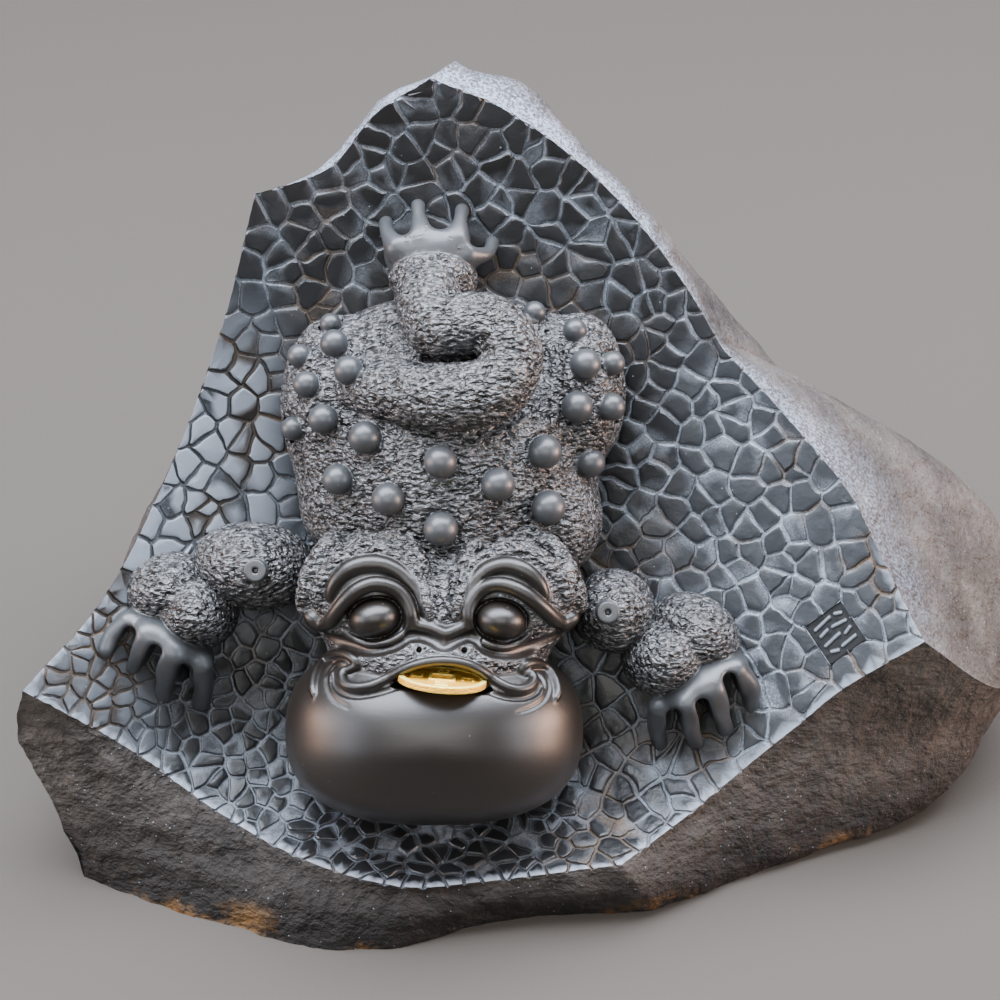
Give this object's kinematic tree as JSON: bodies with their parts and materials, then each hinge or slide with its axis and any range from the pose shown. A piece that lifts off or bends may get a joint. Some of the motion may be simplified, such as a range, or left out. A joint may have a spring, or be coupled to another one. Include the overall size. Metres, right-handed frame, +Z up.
{
  "type": "money toad figure",
  "caption": "Three-legged toad carved head down in the hollow of a dark river stone, with a pierced coin lying in its mouth.",
  "frame": {"origin": "bottom centre of the stone's bounding box, on the surface it stands on", "axes": "+Z up, -Y is the carved front, +X is the viewer's right"},
  "size_m": [0.283, 0.174, 0.187],
  "materials": {
    "dark_stone": "honed, partly polished, natural skin behind",
    "gilt_metal": "polished gilt"
  },
  "bodies": {
    "root": {"stone_carving": "dark_stone", "coin": "gilt_metal"}
  },
  "joints": []
}
